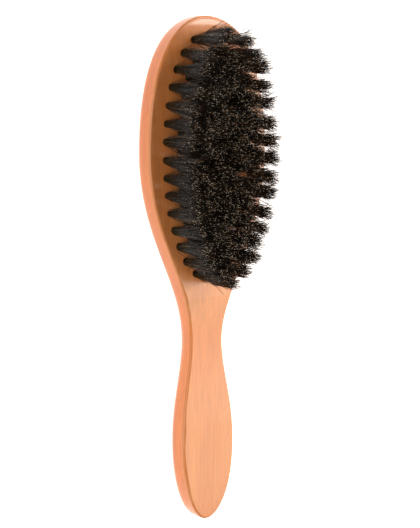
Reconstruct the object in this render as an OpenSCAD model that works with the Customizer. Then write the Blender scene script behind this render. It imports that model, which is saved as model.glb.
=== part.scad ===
// Beard brush with a one-piece wooden body and anchor-set bristle tufts.
//
// The brush lies on its back: Z = 0 is the flat of the back, the bristles point to +Z,
// the head's crown is at the +Y end and the tip of the handle at the -Y end.
// Places along the brush are given as the distance from the crown.

/* [Overall size] */
// Length from the crown of the head to the tip of the handle
total_l = 200; // [170:1:260]
// Width of the head at its widest
head_w = 55.6; // [46:0.2:68]
// Width of the neck at its narrowest
neck_w = 15.4; // [12:0.2:22]
// Width of the grip at its widest
grip_w = 24.4; // [20:0.2:32]
// Thickness of the wood
body_t = 13; // [12:0.5:18]

/* [Outline] */
// Distance from the crown to the widest place of the head
widest_at = 53; // [44:1:62]
// Distance from the crown to the narrowest place of the neck
neck_at = 128; // [118:1:136]
// Distance from the widest place of the grip to the tip of the handle
grip_from_tip = 31; // [24:1:44]
// How much fuller than an ellipse the crown is
crown_fullness = 0.16; // [0:0.01:0.25]
// How far the shoulder's fall is held back towards the neck
shoulder_hold = 0.2; // [0:0.05:0.4]
// How early the grip swells after the neck
grip_swell = 0.25; // [0:0.05:0.4]
// How much slimmer than an ellipse the tip is
tip_taper = 0.02; // [0:0.01:0.35]

/* [Edges] */
// Radius of the rounded edge round the front face
edge_round = 1.1; // [1:0.1:3]
// Height of the rounding between the side and the back
back_round_h = 7; // [4:0.5:8]
// Width of the rounding between the side and the back
back_round_w = 12; // [6:0.5:14]
// Height by which the neck's underside clears the surface that the brush lies on
neck_lift = 1; // [0:0.25:3]
// How far the face dips at the neck
neck_dip = 1.4; // [0:0.1:3]
// Height by which the front face curves down at the crown
crown_drop = 1.6; // [0:0.2:5]
// Distance from the crown over which the face curves down
crown_drop_l = 16; // [8:1:30]
// Height by which the front face curves down at the tip
tip_drop = 1.2; // [0:0.2:6]
// Distance from the tip over which the face curves down
tip_drop_l = 25; // [10:1:40]

/* [Bristle field] */
// Wood left between the side of the head and the first tuft centres
side_margin = 7.7; // [6:0.1:12]
// Wood left between the crown and the first tuft centre
crown_margin = 7.6; // [5.4:0.2:12]
// Distance from the crown to the last tuft centre
field_end_at = 102.8; // [88:0.2:106]
// Distance wanted between neighbouring rings of tufts
ring_gap = 6.5; // [5.8:0.1:8]
// Distance wanted between neighbouring tufts along a ring
tuft_pitch = 6.85; // [6:0.05:9]
// How much wider apart than that the tufts stand towards the crown
pitch_drift = 0.03; // [0:0.01:0.1]
// How squarely the field fills its crown end, where 2 is an ellipse
field_fullness = 2.3; // [2:0.1:2.8]

/* [Tufts] */
// Diameter of a tuft hole
hole_d = 2.9; // [2:0.1:3.4]
// Depth of a tuft hole
hole_depth = 8; // [6:0.5:9]
// Radial clearance between a tuft's root and its hole
root_clearance = 0.02; // [0.01:0.01:0.05]
// Free length of the bristles above the wood
bristle_l = 18.5; // [12:0.5:26]
// Gap left at the tips between the two tufts that stand closest together
tip_gap = 0.6; // [0.4:0.1:2]
// Outward lean of the tufts nearest the crown, in degrees
crown_lean = 4.5; // [0:0.5:8]
// Outward lean of the tufts nearest the handle, in degrees
handle_lean = 3; // [0:0.5:10]
// Outward lean of the tufts at the sides, in degrees
side_lean = 1.5; // [0:0.5:6]

/* [Anchors] */
// Thickness of the flat anchor wire
wire_t = 0.4; // [0.3:0.05:0.5]
// Height of the flat anchor wire
wire_h = 1.5; // [1:0.1:2]
// Length by which each end of an anchor bites into the wood
anchor_bite = 0.25; // [0.15:0.05:0.4]
// Thickness of the folded bristles under an anchor
fold_t = 0.8; // [0.5:0.1:1.2]

/* [Hidden] */
wood_colour = [0.87, 0.62, 0.42];
bristle_colour = [0.10, 0.09, 0.08];
wire_colour = [0.72, 0.72, 0.74];

grip_at = total_l - grip_from_tip;
root_r = hole_d / 2 - root_clearance;
anchor_l = hole_d + 2 * anchor_bite;

// Steps of the body's surface
crown_steps = 18;
shoulder_steps = 22;
grip_steps = 13;
tip_steps = 15;
edge_steps = 6;
back_steps = 9;
crown_spine = 20;   // from the crown to the point that the crown's sections run towards
tip_spine = 10;     // the same at the tip
front_trim = 0.2;   // height that the front face's plane cuts away
back_trim = 0.1;    // the same at the back
back_share = 0.72;  // largest share of the way to the spine that the back's rounding takes
least_wall = 0.4;   // least height of plain side between the face's and the back's rounding
dip_gap = 4;        // flat face between the last tufts' place and the start of the neck's dip
end_power = 3;      // how sharply the face's curve gathers towards the crown and the tip

// ---- Outline of the body: half its width at a distance s from the crown ----

function ease(t) = (1 - cos(180 * t)) / 2;
function shifted(t, k) = t + k * t * (1 - t);

function crown_half(s) =
    let (u = (widest_at - s) / widest_at)
    head_w / 2 * sqrt(max(0, 1 - u * u)) * (1 + crown_fullness * u * u);

function shoulder_half(s) =
    let (t = (s - widest_at) / (neck_at - widest_at))
    head_w / 2 + (neck_w - head_w) / 2 * ease(shifted(t, -shoulder_hold));

function grip_half(s) =
    let (t = (s - neck_at) / (grip_at - neck_at))
    neck_w / 2 + (grip_w - neck_w) / 2 * ease(shifted(t, grip_swell));

function tip_half(s) =
    let (u = (s - grip_at) / grip_from_tip)
    grip_w / 2 * sqrt(max(0, 1 - u * u)) * (1 - tip_taper * u * u);

function half_width(s) =
    s < widest_at ? crown_half(s)
    : s < neck_at ? shoulder_half(s)
    : s < grip_at ? grip_half(s)
    : tip_half(s);

// Stations from the crown to the tip, closer together where the ends curve round
stations = concat(
    [for (i = [0:crown_steps - 1]) widest_at * (1 - cos(90 * i / crown_steps))],
    [for (i = [0:shoulder_steps - 1]) widest_at + (neck_at - widest_at) * i / shoulder_steps],
    [for (i = [0:grip_steps - 1]) neck_at + (grip_at - neck_at) * i / grip_steps],
    [for (i = [0:tip_steps]) grip_at + grip_from_tip * sin(90 * i / tip_steps)]
);
last_station = len(stations) - 1;

// The point of the centre line that a section at s runs towards
function spine(s) =
    s < widest_at ? widest_at - (widest_at - s) * (widest_at - crown_spine) / widest_at
    : s > grip_at ? grip_at + (s - grip_at) * (grip_from_tip - tip_spine) / grip_from_tip
    : s;

// Outline points [x, s, spine] round the body, down the right side and up the left
rim = concat(
    [for (s = stations) [half_width(s), s, spine(s)]],
    [for (i = [last_station - 1:-1:1]) let (s = stations[i]) [-half_width(s), s, spine(s)]]
);
rim_n = len(rim);

// ---- Section of the body: rings of the outline, each set in and at a height ----

function lift(s) =
    let (a = 90 * (s - neck_at) / (grip_at - neck_at))
    abs(a) < 90 ? neck_lift * pow(cos(a), 2) : 0;
function reach(p) = norm([p[0], p[1] - p[2]]);
function towards_spine(p, inset) =
    let (f = inset / reach(p))
    [p[0] * (1 - f), p[1] + (p[2] - p[1]) * f];
function back_inset(p) =
    let (most = back_share * reach(p))
    back_round_w * most / pow(pow(back_round_w, 4) + pow(most, 4), 0.25);

function level(p, inset, z) =
    let (q = towards_spine(p, inset))
    [q[0], total_l / 2 - q[1], z];

// How far the face has curved down at a distance s from the crown
function neck_drop(s) =
    let (a = s < neck_at ? (neck_at - s) / (neck_at - field_end_at - dip_gap)
                         : (s - neck_at) / (grip_at - neck_at))
    a < 1 ? neck_dip * pow(cos(90 * a), 2) : 0;
function end_drop(s) =
    s < crown_drop_l ? crown_drop * pow(1 - s / crown_drop_l, end_power)
    : s > total_l - tip_drop_l ? tip_drop * pow(1 - (total_l - s) / tip_drop_l, end_power)
    : neck_drop(s);
function face_z(s) = body_t - end_drop(s);
function back_h(s) = min(back_round_h, face_z(s) - edge_round - least_wall - lift(s));

body_rings = concat(
    [[for (p = rim)
        level(p, edge_round + front_trim, face_z(p[1]) + max(0, front_trim - end_drop(p[1])))]],
    [for (i = [0:edge_steps])
        let (a = 90 * i / edge_steps)
        [for (p = rim) level(p, edge_round * (1 - sin(a)), face_z(p[1]) - edge_round * (1 - cos(a)))]],
    [for (i = [0:back_steps])
        let (a = 90 * i / back_steps)
        [for (p = rim)
            level(p, back_inset(p) * (1 - cos(a)),
                lift(p[1]) + back_h(p[1]) - (back_h(p[1]) + back_trim) * sin(a))]]
);
ring_count = len(body_rings);

// Flat strips close the first and the last ring, from one side of the outline to the other
function cap(first) = [
    for (i = [0:last_station - 1])
        let (l = (rim_n - i) % rim_n, m = rim_n - i - 1, r = i, q = i + 1)
        i == 0 ? [first, first + q, first + m]
        : i == last_station - 1 ? [first + l, first + r, first + q]
        : [first + l, first + r, first + q, first + m]
];
function flipped(faces) = [for (f = faces) [for (k = [len(f) - 1:-1:0]) f[k]]];

body_faces = concat(
    cap(0),
    [for (k = [0:ring_count - 2], i = [0:rim_n - 1])
        let (j = (i + 1) % rim_n, a = k * rim_n, b = a + rim_n)
        each [[a + i, b + i, b + j], [a + i, b + j, a + j]]],
    flipped(cap((ring_count - 1) * rim_n))
);

// ---- Tuft places: rings that follow the bristle field's outline, and a centre row ----

field_half_w = head_w / 2 - side_margin;
field_half_l = (field_end_at - crown_margin) / 2;
field_at = crown_margin + field_half_l;
rings = max(1, round(field_half_w / ring_gap));
ring_step = field_half_w / rings;
ring_names = ["outer", "second", "third", "fourth", "fifth", "sixth"];
arc_steps = 180;
centre_set_in = 2.2;    // ring steps from an end of the innermost ring to the centre row

function ring_point(ring, t) =
    let (k = t < 90 ? 2 / field_fullness : 1)
    [
        (field_half_w - ring * ring_step) * pow(sin(t), k),
        field_at - (field_half_l - ring * ring_step) * sign(cos(t)) * pow(abs(cos(t)), k)
    ];

// Table of [length along the half ring, angle], from the crown's end to the handle's
function arc_table(ring) = [
    for (i = 0, a = 0; i <= arc_steps;
            a = a + norm(ring_point(ring, 180 * (i + 1) / arc_steps) - ring_point(ring, 180 * i / arc_steps)),
            i = i + 1)
        [a, 180 * i / arc_steps]
];

// Number of stations on a half ring, less the first, so that tufts stand tuft_pitch apart
function ring_spaces(ring) = round(arc_table(ring)[arc_steps][0] / tuft_pitch);

function ring_station(ring, i) =
    let (table = arc_table(ring), n = ring_spaces(ring))
    ring_point(ring, lookup(table[arc_steps][0] * shifted(i / n, pitch_drift), table));

// The one or two tufts of a ring's station: two sides, or one on the centre line at each end
function station_tufts(ring, i) =
    let (p = ring_station(ring, i))
    i == 0 || i == ring_spaces(ring) ? [[0, p[1]]] : [[-p[0], p[1]], [p[0], p[1]]];

centre_half_l = field_half_l - (rings - 1 + centre_set_in) * ring_step;
centre_spaces = round(2 * centre_half_l / tuft_pitch);
centre_tufts = [
    for (i = [0:centre_spaces]) [0, field_at - centre_half_l + 2 * centre_half_l * i / centre_spaces]
];

all_tufts = concat(
    [for (ring = [0:rings - 1], i = [0:ring_spaces(ring)]) each station_tufts(ring, i)],
    centre_tufts
);

// Distance between the two tufts that stand closest together
closest_tufts = min([
    for (i = [0:len(all_tufts) - 2], j = [i + 1:len(all_tufts) - 1]) norm(all_tufts[i] - all_tufts[j])
]);
tip_r = (closest_tufts - tip_gap) / 2;
tip_round = tip_r / 4;

function two_digits(i) = str(i < 10 ? "0" : "", i);
function station_name(ring, i) = str(ring_names[ring], "_tufts_", two_digits(i + 1));

// Lean of the tuft at a place, as a rotation
function lean(p) =
    let (v = (p[1] - field_at) / field_half_l, end_lean = v < 0 ? crown_lean : handle_lean)
    [end_lean * pow(v, 3), side_lean * p[0] / field_half_w, 0];

// Puts its children at a tuft's place, with Z = 0 at the front face and Z along the tuft
module at_tuft(p) {
    translate([p[0], total_l / 2 - p[1], body_t]) rotate(lean(p)) children();
}

// ---- Shapes ----

module plane_cut(z, trim) {
    translate([-head_w, -total_l, z]) cube([2 * head_w, 2 * total_l, 2 * trim]);
}

module blank() {
    difference() {
        polyhedron(points = [for (ring = body_rings) each ring], faces = body_faces);
        plane_cut(body_t, front_trim);
        plane_cut(-2 * back_trim, back_trim);
    }
}

module tuft_hole() {
    translate([0, 0, -hole_depth]) cylinder(d = hole_d, h = hole_depth + edge_round, $fn = 32);
}

module anchor() {
    translate([-anchor_l / 2, -wire_t / 2, fold_t - hole_depth]) cube([anchor_l, wire_t, wire_h]);
}

module tuft() {
    difference() {
        rotate_extrude($fn = 32)
            polygon([
                [0, -hole_depth],
                [root_r, -hole_depth],
                [root_r, 0],
                [tip_r, bristle_l - tip_round],
                [tip_r - tip_round, bristle_l],
                [0, bristle_l]
            ]);
        anchor();
    }
}

// ---- Sub-parts ----

module brush_body() {
    color(wood_colour)
        difference() {
            blank();
            for (p = all_tufts) at_tuft(p) {
                tuft_hole();
                anchor();
            }
        }
}

module anchor_wires() {
    color(wire_colour) for (p = all_tufts) at_tuft(p) anchor();
}

module tufts(places) {
    color(bristle_colour) for (p = places) at_tuft(p) tuft();
}

brush_body();
anchor_wires();
for (ring = [0:rings - 1], i = [0:ring_spaces(ring)])
    tufts(station_tufts(ring, i));
tufts(centre_tufts);
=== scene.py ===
"""Beard brush: a lacquered beech body with a dense field of dark boar bristle tufts.

Lengths are in metres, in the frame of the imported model: the brush lies on its back, the
bristles point to +Z, the crown of the head is at +Y and the tip of the handle at -Y.
"""
import math

import bmesh
import bpy
import numpy as np
from mathutils import Matrix, Vector


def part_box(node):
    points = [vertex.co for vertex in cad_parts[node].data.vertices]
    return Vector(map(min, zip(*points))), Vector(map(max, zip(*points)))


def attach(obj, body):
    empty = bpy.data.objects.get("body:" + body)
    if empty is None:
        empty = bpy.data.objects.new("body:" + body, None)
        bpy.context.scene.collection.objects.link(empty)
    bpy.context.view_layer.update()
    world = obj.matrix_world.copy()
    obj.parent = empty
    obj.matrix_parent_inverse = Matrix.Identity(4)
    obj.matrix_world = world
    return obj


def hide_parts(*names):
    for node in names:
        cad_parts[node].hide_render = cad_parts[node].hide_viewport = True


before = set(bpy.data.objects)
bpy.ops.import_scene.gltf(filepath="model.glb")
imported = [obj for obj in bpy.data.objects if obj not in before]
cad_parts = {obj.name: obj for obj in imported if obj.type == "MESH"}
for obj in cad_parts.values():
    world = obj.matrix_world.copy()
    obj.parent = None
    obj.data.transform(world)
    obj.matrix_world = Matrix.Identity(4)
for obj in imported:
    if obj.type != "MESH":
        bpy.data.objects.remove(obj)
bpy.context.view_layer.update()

MM = 0.001
BODY = "root"
MERGE = 0.002 * MM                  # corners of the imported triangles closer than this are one
FACE_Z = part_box("brush_body")[1].z  # height of the board's face


# ---- Camera and studio ----

VIEW_SIDE = math.radians(35)        # how far the view leans from straight above towards -X
VIEW_CROWN = math.radians(7)        # the same towards the crown
LENS_MM = 150
SENSOR_MM = 36
FRAME_HEIGHT = 208.0 * MM           # height that the picture takes in at the brush
AIM = Vector((0.6 * MM, 2.7 * MM, FACE_Z))
WORLD_LIGHT = 0.12
FLOOR_HALF = 3.0
FLOOR_GLOW = 0.72                   # lifts the floor to an even white


def place_camera():
    data = bpy.data.cameras.new("studio_camera")
    data.lens = LENS_MM
    data.sensor_width = SENSOR_MM
    data.clip_start = 0.05
    data.clip_end = 10
    camera = bpy.data.objects.new("studio_camera", data)
    bpy.context.scene.collection.objects.link(camera)
    away = Vector((-math.sin(VIEW_SIDE) * math.cos(VIEW_CROWN), math.sin(VIEW_CROWN),
                   math.cos(VIEW_SIDE) * math.cos(VIEW_CROWN)))
    up = (Vector((0, 1, 0)) - away * away.y).normalized()
    right = up.cross(away)
    distance = FRAME_HEIGHT * LENS_MM / SENSOR_MM
    turn = Matrix((right, up, away)).transposed().to_4x4()
    camera.matrix_world = Matrix.Translation(AIM + away * distance) @ turn
    bpy.context.scene.camera = camera


def soft_light(name, direction, distance, size, power, colour):
    data = bpy.data.lights.new(name, "AREA")
    data.shape = "DISK"
    data.size = size
    data.energy = power
    data.color = colour
    lamp = bpy.data.objects.new(name, data)
    bpy.context.scene.collection.objects.link(lamp)
    towards = Vector(direction).normalized()
    lamp.location = AIM + towards * distance
    lamp.rotation_mode = "QUATERNION"
    lamp.rotation_quaternion = towards.to_track_quat("Z", "Y")


def light_studio():
    soft_light("key_light", (0.54, 0.52, 0.66), 1.6, 0.50, 7.8, (1.0, 0.98, 0.92))
    soft_light("edge_light", (0.66, -0.03, 0.75), 1.2, 0.24, 2.6, (1.0, 0.98, 0.93))
    soft_light("sheen_light", (0.54, -0.36, 0.78), 1.18, 0.80, 4.8, (1.0, 0.98, 0.86))
    soft_light("ridge_light", (-0.55, -0.62, 0.26), 0.8, 0.40, 0.9, (1.0, 0.97, 0.86))
    soft_light("glint_light", (-0.74, -0.02, 0.64), 1.2, 0.90, 6.2, (1.0, 0.94, 0.80))
    soft_light("rim_light", (0.96, 0.18, 0.16), 1.0, 0.30, 12.0, (1.0, 0.98, 0.95))
    world = bpy.data.worlds.new("studio_world")
    bpy.context.scene.world = world
    world.use_nodes = True
    background = world.node_tree.nodes["Background"]
    background.inputs["Color"].default_value = (1.0, 1.0, 1.0, 1.0)
    background.inputs["Strength"].default_value = WORLD_LIGHT
    bpy.context.scene.view_settings.view_transform = "Standard"


# ---- Node helpers ----

class Shader:
    """A new material whose nodes are added in the order that a surface is built up."""

    def __init__(self, name):
        self.material = bpy.data.materials.new(name)
        self.material.use_nodes = True
        self.tree = self.material.node_tree
        self.surface = self.tree.nodes["Principled BSDF"]

    def node(self, kind, inputs=None, **settings):
        made = self.tree.nodes.new("ShaderNode" + kind)
        for key, value in settings.items():
            setattr(made, key, value)
        for key, value in (inputs or {}).items():
            if isinstance(value, bpy.types.NodeSocket):
                self.tree.links.new(value, made.inputs[key])
            else:
                made.inputs[key].default_value = value
        return made

    def maths(self, operation, a, b=0.0, c=0.0):
        return self.node("Math", {0: a, 1: b, 2: c}, operation=operation).outputs[0]

    def spread(self, value, low, high, to_low=0.0, to_high=1.0):
        inputs = {"Value": value, "From Min": low, "From Max": high,
                  "To Min": to_low, "To Max": to_high}
        return self.node("MapRange", inputs).outputs["Result"]

    def mixed(self, share, a, b, blend="MIX"):
        made = self.node("Mix", data_type="RGBA", blend_type=blend)
        for key, value in ((0, share), (6, a), (7, b)):
            if isinstance(value, bpy.types.NodeSocket):
                self.tree.links.new(value, made.inputs[key])
            else:
                made.inputs[key].default_value = value
        return made.outputs[2]

    def ramp(self, value, stops):
        made = self.node("ValToRGB", {"Fac": value})
        elements = made.color_ramp.elements
        while len(elements) < len(stops):
            elements.new(0.5)
        for element, (place, colour) in zip(elements, stops):
            element.position = place
            element.color = colour
        return made.outputs["Color"]

    def scaled_place(self, scale):
        """The piece's own coordinates, times a scale for each axis."""
        coordinates = self.node("TexCoord").outputs["Object"]
        return self.node("Mapping", {"Vector": coordinates, "Scale": scale}).outputs["Vector"]

    def noise(self, place, scale, detail=2.0, roughness=0.5, distortion=0.0):
        inputs = {"Vector": place, "Scale": scale, "Detail": detail,
                  "Roughness": roughness, "Distortion": distortion}
        return self.node("TexNoise", inputs).outputs["Fac"]

    def plain(self, **values):
        for key, value in values.items():
            self.surface.inputs[key.replace("_", " ")].default_value = value

    def link(self, key, value):
        self.tree.links.new(value, self.surface.inputs[key])


def srgb(red, green, blue):
    """A colour given as it looks, 0 to 255, as the linear values that a shader takes."""
    def linear(level):
        level /= 255
        return level / 12.92 if level <= 0.04045 else ((level + 0.055) / 1.055) ** 2.4
    return (linear(red), linear(green), linear(blue), 1.0)


# ---- Finishes ----

def lacquered_beech():
    s = Shader("lacquered_beech")
    # Growth rings, cut along the grain: long slow bands across the width
    rings_place = s.scaled_place((1.0, 0.07, 1.6))
    warp = s.noise(rings_place, 55.0, 3.0, 0.55)
    bands = s.noise(rings_place, 190.0, 4.0, 0.6, 0.6)
    fibre = s.noise(s.scaled_place((1.0, 0.035, 1.0)), 1500.0, 2.0, 0.6)
    tone = s.maths("MULTIPLY_ADD", warp, 0.45, s.maths("MULTIPLY", bands, 0.55))
    base = s.ramp(tone, [
        (0.30, srgb(207, 121, 62)),
        (0.50, srgb(221, 137, 76)),
        (0.70, srgb(230, 151, 91)),
    ])
    fibre_shade = s.spread(fibre, 0.35, 0.70, 0.90, 1.05)
    base = s.mixed(1.0, base, s.node("CombineColor", {0: fibre_shade, 1: fibre_shade,
                                                      2: fibre_shade}).outputs[0], "MULTIPLY")
    # Painted shade: the sides, between the face's rounded edge and the back's, are tinted darker and
    # more orange than the face
    height_up = s.node("SeparateXYZ", {"Vector": s.node("TexCoord").outputs["Object"]}).outputs["Z"]
    side = s.maths("MULTIPLY", s.spread(height_up, FACE_Z - 0.4 * MM, FACE_Z - 2.2 * MM),
                   s.spread(height_up, 0.5 * MM, 3.0 * MM))
    base = s.mixed(side, base, s.mixed(1.0, base, (0.97, 0.74, 0.43, 1.0), "MULTIPLY"))
    # Medullary flecks: short dark dashes along the grain
    flecks = s.node("TexVoronoi", {"Vector": s.scaled_place((1.0, 0.16, 1.0)), "Scale": 900.0,
                                   "Randomness": 1.0}).outputs["Distance"]
    patchy = s.noise(s.scaled_place((1.0, 0.5, 1.0)), 160.0, 1.0)
    dash = s.maths("MULTIPLY", s.spread(flecks, 0.10, 0.22, 1.0, 0.0),
                   s.spread(patchy, 0.42, 0.60, 0.0, 0.42))
    base = s.mixed(dash, base, srgb(176, 100, 62))
    s.link("Base Color", base)
    rough = s.spread(bands, 0.3, 0.7, 0.34, 0.46)
    s.link("Roughness", rough)
    height = s.maths("MULTIPLY_ADD", fibre, 0.5, s.maths("MULTIPLY", dash, -0.8))
    bump = s.node("Bump", {"Height": height, "Strength": 0.10, "Distance": 0.00012})
    s.link("Normal", bump.outputs["Normal"])
    s.plain(Coat_Weight=0.7, Coat_Roughness=0.13, Specular_IOR_Level=0.4)
    return s.material


SHADE_CELLS = 40        # kinds of bristle, each a cell across the bristles' own map


def boar_bristle():
    s = Shader("boar_bristle")
    own_map = s.node("UVMap", uv_map="OFBake").outputs["UV"]
    across_along = s.node("SeparateXYZ", {"Vector": own_map}).outputs
    cell = s.maths("FLOOR", s.maths("MULTIPLY", across_along["X"], SHADE_CELLS))
    along = across_along["Y"]
    kind = s.node("TexWhiteNoise", {"W": s.maths("ADD", cell, 3.0)},
                  noise_dimensions="1D").outputs["Value"]
    shaft = s.ramp(kind, [
        (0.00, srgb(10, 11, 9)),
        (0.50, srgb(21, 22, 19)),
        (0.78, srgb(36, 29, 22)),
        (0.90, srgb(58, 44, 32)),
        (0.97, srgb(122, 86, 52)),
        (1.00, srgb(205, 186, 160)),
    ])
    shaft = s.mixed(s.spread(along, 0.10, 0.55, 0.55, 0.0), shaft, srgb(58, 66, 50))
    # Pale flagged tips, in part the bristles' own colour; the palest, near-white kinds are painted
    # highlights standing in for glints on the tips
    tip = s.ramp(kind, [
        (0.00, srgb(12, 11, 9)),
        (0.50, srgb(34, 28, 22)),
        (0.64, srgb(142, 100, 64)),
        (0.78, srgb(236, 212, 184)),
        (1.00, srgb(255, 248, 240)),
    ])
    pale = s.spread(along, 0.95, 0.985)
    base = s.mixed(pale, shaft, tip)
    s.link("Base Color", base)
    s.plain(Roughness=0.25, Specular_IOR_Level=0.60)
    return s.material


def drawn_wire():
    s = Shader("drawn_wire")
    streaks = s.noise(s.scaled_place((0.05, 1.0, 1.0)), 6000.0, 2.0)
    s.link("Roughness", s.spread(streaks, 0.3, 0.7, 0.28, 0.42))
    s.plain(Base_Color=srgb(176, 176, 180), Metallic=1.0)
    return s.material


def pale_floor():
    s = Shader("pale_floor")
    s.plain(Base_Color=(0.92, 0.92, 0.92, 1.0), Roughness=0.9, Specular_IOR_Level=0.1,
            Emission_Color=(1.0, 1.0, 1.0, 1.0), Emission_Strength=FLOOR_GLOW)
    return s.material


# ---- Pieces ----

def link_piece(name, mesh, material, node):
    """Adds a finished mesh to the scene in place of a CAD node."""
    piece = bpy.data.objects.new(name, mesh)
    bpy.context.scene.collection.objects.link(piece)
    mesh.materials.clear()
    mesh.materials.append(material)
    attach(piece, BODY)
    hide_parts(node)


SHARP_ANGLE = math.radians(38)
LEVEL = 0.99999             # upward part of a level face's normal
GENTLE = 0.85               # the same of a face on the gentle slopes
WIDE = 3 * MM               # width from which such a face spans the board


def carved_body(material):
    """The wooden body, smooth over its rounded edges and crisp at the rims of the holes."""
    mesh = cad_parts["brush_body"].data.copy()
    shape = bmesh.new()
    shape.from_mesh(mesh)
    bmesh.ops.remove_doubles(shape, verts=shape.verts, dist=MERGE)
    bmesh.ops.dissolve_degenerate(shape, edges=shape.edges, dist=MERGE / 2)
    for face in shape.faces:
        face.smooth = True
    for edge in shape.edges:
        if len(edge.link_faces) == 2:
            edge.smooth = edge.calc_face_angle(0.0) < SHARP_ANGLE
    shape.to_mesh(mesh)
    shape.free()
    mesh.name = "carved_body"
    hold_flats(mesh)
    link_piece("carved_body", mesh, material, "brush_body")


def hold_flats(mesh):
    """Keeps the front and the back even right up to the start of their rounded edges.

    A corner on a level face takes that face's slope, and one on the wide strips of the
    curved ends takes theirs, so the narrow faces of the rounding don't bend the light there.
    """
    level = {}
    curved = {}
    for face in mesh.polygons:
        across = [mesh.vertices[v].co.x for v in face.vertices]
        if abs(face.normal.z) > LEVEL:
            for v in face.vertices:
                level[v] = face.normal.copy()
        elif abs(face.normal.z) > GENTLE and max(across) - min(across) > WIDE:
            for v in face.vertices:
                curved[v] = curved.get(v, Vector()) + face.normal * face.area
    slopes = {**curved, **level}
    normals = [corner.vector.copy() for corner in mesh.corner_normals]
    for face in mesh.polygons:
        for corner, v in zip(face.loop_indices, face.vertices):
            if v in slopes and slopes[v].angle(face.normal, math.pi) < SHARP_ANGLE:
                normals[corner] = slopes[v].normalized()
    mesh.normals_split_custom_set(normals)


END_SLICE = 0.05 * MM       # depth at a tuft's ends that tells where its axis runs
AXIS_ROUNDS = 4


def tufts_of(node):
    """[(root at the face, axis, free length, root radius)] for each tuft of a CAD node."""
    shape = bmesh.new()
    shape.from_mesh(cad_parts[node].data)
    bmesh.ops.remove_doubles(shape, verts=shape.verts, dist=MERGE)
    left = set(shape.verts)
    found = []
    while left:
        todo = [min(left, key=lambda v: v.index)]
        island = set(todo)
        while todo:
            for edge in todo.pop().link_edges:
                for vert in edge.verts:
                    if vert not in island:
                        island.add(vert)
                        todo.append(vert)
        left -= island
        places = np.array([v.co[:] for v in island])
        axis = np.array((0.0, 0.0, 1.0))
        for _ in range(AXIS_ROUNDS):
            along = places @ axis
            low = places[along < along.min() + END_SLICE].mean(0)
            high = places[along > along.max() - END_SLICE].mean(0)
            axis = (high - low) / np.linalg.norm(high - low)
        root = low + axis * (FACE_Z - low[2]) / axis[2]
        out = np.linalg.norm(np.cross(places - low, axis), axis=1)
        root_r = out[(places - low) @ axis < END_SLICE].max()
        found.append((root, axis, np.linalg.norm(high - root), root_r))
    shape.free()
    return sorted(found, key=lambda tuft: (round(tuft[0][1], 5), tuft[0][0]))


BRISTLES = 240              # in one tuft
BRISTLE_SIDES = 4
BRISTLE_R = 0.080 * MM
BRISTLE_STEPS = (0.0, 0.30, 0.62, 0.86, 0.95, 1.0)
BRISTLE_TAPER = (1.0, 1.0, 1.0, 0.9, 0.75, 0.45)
BRISTLE_POINTS = len(BRISTLE_STEPS)
SEATED = 1.0 * MM           # how far the modelled bristles start below the face
EDGE_SPREAD = 2.8 * MM      # radius of an outer tuft at its tips
INNER_SPREAD = 3.9 * MM     # the same of a tuft with others all round it
TUFT_LEAN = 0.9 * MM        # how far a tuft's tips sit off its hole's axis
BEND = 0.7 * MM             # usual sideways bend of a bristle at its tip
CRINKLE = 0.08 * MM         # small waves along a bristle
BOW = 0.36 * MM             # usual bow of a bristle at half its length
HOOK = 0.14 * MM            # usual sideways turn of the last millimetre
STRAYS = 0.09               # share of bristles that stand out from their tuft
SHORT = 0.34                # share of bristles that end lower than the rest
FLARE_CURVE = 0.95          # below 1, a tuft opens faster near its root
BEND_CURVE = 2.6            # above 1, a bristle bends mostly near its tip
FIRST_SEED = 4100


def bristle_places(tuft, tip_spread, rng):
    """Points along each bristle of a tuft, as an array of bristle, point and axis."""
    root, axis, length, root_r = tuft
    side = np.cross(axis, (0.0, 1.0, 0.0))
    side /= np.linalg.norm(side)
    other = np.cross(axis, side)
    turn = rng.uniform(0, 2 * math.pi, BRISTLES)
    share = np.sqrt(rng.uniform(0, 1, BRISTLES))
    stray = rng.uniform(0, 1, BRISTLES) < STRAYS
    start_r = share * (root_r - BRISTLE_R)
    spread = tip_spread * rng.uniform(0.88, 1.1) * rng.normal(1.0, 0.12, BRISTLES)
    tip_r = np.where(stray, 1.1 + rng.gamma(1.5, 0.3, BRISTLES), share) * spread
    tip_turn = turn + rng.normal(0, 0.18, BRISTLES)
    reach = length * (1 - np.abs(rng.normal(0, 0.04, BRISTLES)))
    short = rng.uniform(0, 1, BRISTLES) < SHORT * (0.5 + share ** 3)
    reach = np.where(short, reach * rng.uniform(0.35, 0.97, BRISTLES), reach)
    reach = np.sqrt(reach ** 2 - np.minimum(tip_r, 0.4 * length) ** 2 * 0.6)
    steps = np.array(BRISTLE_STEPS)[None, :]
    along = steps * (reach[:, None] + SEATED) - SEATED
    flare = (steps * (reach / length)[:, None]) ** FLARE_CURVE

    def sideways(ring_share, lean):
        bend = BEND * rng.gamma(1.6, 0.6, BRISTLES) * rng.choice((-1, 1), BRISTLES)
        waves = rng.normal(0, CRINKLE, (BRISTLES, BRISTLE_POINTS)) * steps
        waves[:, -1] += rng.normal(0, HOOK, BRISTLES)
        straight = (start_r * ring_share(turn))[:, None] * (1 - flare)
        fanned = (tip_r * ring_share(tip_turn))[:, None] * flare
        bow = rng.normal(0, BOW, BRISTLES)[:, None] * np.sin(math.pi * steps)
        return straight + fanned + lean * flare + bend[:, None] * steps ** BEND_CURVE + bow + waves

    a = sideways(np.cos, rng.normal(0, TUFT_LEAN))
    b = sideways(np.sin, rng.normal(0, TUFT_LEAN))
    return root + along[..., None] * axis + a[..., None] * side + b[..., None] * other


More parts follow.
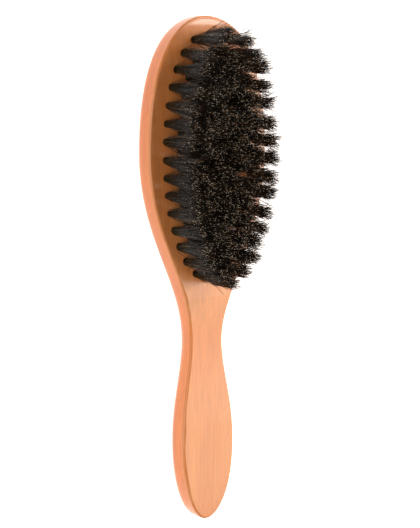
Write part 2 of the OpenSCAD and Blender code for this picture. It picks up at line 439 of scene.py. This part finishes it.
def bristle_mesh(name, places, rng):
    """Tapered strands along the places, with a map whose cells across say the kind of bristle."""
    curve = bpy.data.curves.new(name, "CURVE")
    curve.dimensions = "3D"
    curve.bevel_depth = BRISTLE_R
    curve.bevel_resolution = 0
    for strand in places:
        spline = curve.splines.new("POLY")
        spline.points.add(BRISTLE_POINTS - 1)
        spline.points.foreach_set("co", np.c_[strand, np.ones(BRISTLE_POINTS)].ravel())
        spline.points.foreach_set("radius", BRISTLE_TAPER)
    holder = bpy.data.objects.new(name, curve)
    mesh = bpy.data.meshes.new_from_object(holder)
    bpy.data.objects.remove(holder)
    bpy.data.curves.remove(curve)
    mesh.name = name
    close_ends(mesh)
    map_bristles(mesh, len(places), rng)
    mesh.shade_smooth()
    return mesh


def close_ends(mesh):
    """Fills both open ends of every strand."""
    shape = bmesh.new()
    shape.from_mesh(mesh)
    bmesh.ops.holes_fill(shape, edges=[e for e in shape.edges if e.is_boundary], sides=BRISTLE_SIDES)
    shape.to_mesh(mesh)
    shape.free()


CELL_EDGE = 0.04            # share of a cell's width kept free at each side
MAP_EDGE = 0.01             # share of the map kept free below and above


def map_bristles(mesh, strands, rng):
    """Gives each strand a cell of the map: its kind across, and its length up."""
    per_strand = BRISTLE_POINTS * BRISTLE_SIDES
    corners = np.empty(len(mesh.loops), np.int32)
    mesh.loops.foreach_get("vertex_index", corners)
    starts = np.empty(len(mesh.polygons), np.int32)
    mesh.polygons.foreach_get("loop_start", starts)
    strand = corners // per_strand
    ring = corners % per_strand // BRISTLE_SIDES
    side = corners % BRISTLE_SIDES
    face = np.repeat(np.arange(len(starts)), np.diff(np.append(starts, len(corners))))
    lowest = np.full(len(starts), BRISTLE_SIDES)
    highest = np.zeros(len(starts), int)
    np.minimum.at(lowest, face, side)
    np.maximum.at(highest, face, side)
    wraps = (lowest[face] == 0) & (highest[face] == BRISTLE_SIDES - 1) & (side == 0)
    across = np.where(wraps, BRISTLE_SIDES, side) / BRISTLE_SIDES
    cell = rng.integers(0, SHADE_CELLS, strands)[strand]
    for layer in list(mesh.uv_layers):
        mesh.uv_layers.remove(layer)
    layer = mesh.uv_layers.new(name="OFBake")
    spots = np.c_[(cell + CELL_EDGE + (1 - 2 * CELL_EDGE) * across) / SHADE_CELLS,
                  MAP_EDGE + (1 - 2 * MAP_EDGE) * np.array(BRISTLE_STEPS)[ring]]
    layer.data.foreach_set("uv", spots.astype(np.float32).ravel())


def bristle_pieces(material):
    names = sorted(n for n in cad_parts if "tufts" in n)
    for number, node in enumerate(names):
        rng = np.random.default_rng(FIRST_SEED + number)
        spread = EDGE_SPREAD if node.startswith("outer") else INNER_SPREAD
        places = np.concatenate([bristle_places(tuft, spread, rng) for tuft in tufts_of(node)])
        name = node.replace("tufts", "bristles")
        link_piece(name, bristle_mesh(name, places, rng), material, node)


def studio_floor():
    mesh = bpy.data.meshes.new("studio_floor")
    shape = bmesh.new()
    bmesh.ops.create_grid(shape, x_segments=1, y_segments=1, size=FLOOR_HALF)
    shape.to_mesh(mesh)
    shape.free()
    mesh.materials.append(pale_floor())
    floor = bpy.data.objects.new("studio_floor", mesh)
    bpy.context.scene.collection.objects.link(floor)


# ---- The scene ----

place_camera()
light_studio()
studio_floor()
carved_body(lacquered_beech())
bristle_pieces(boar_bristle())
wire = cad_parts["anchor_wires"]
wire.data.materials.clear()
wire.data.materials.append(drawn_wire())
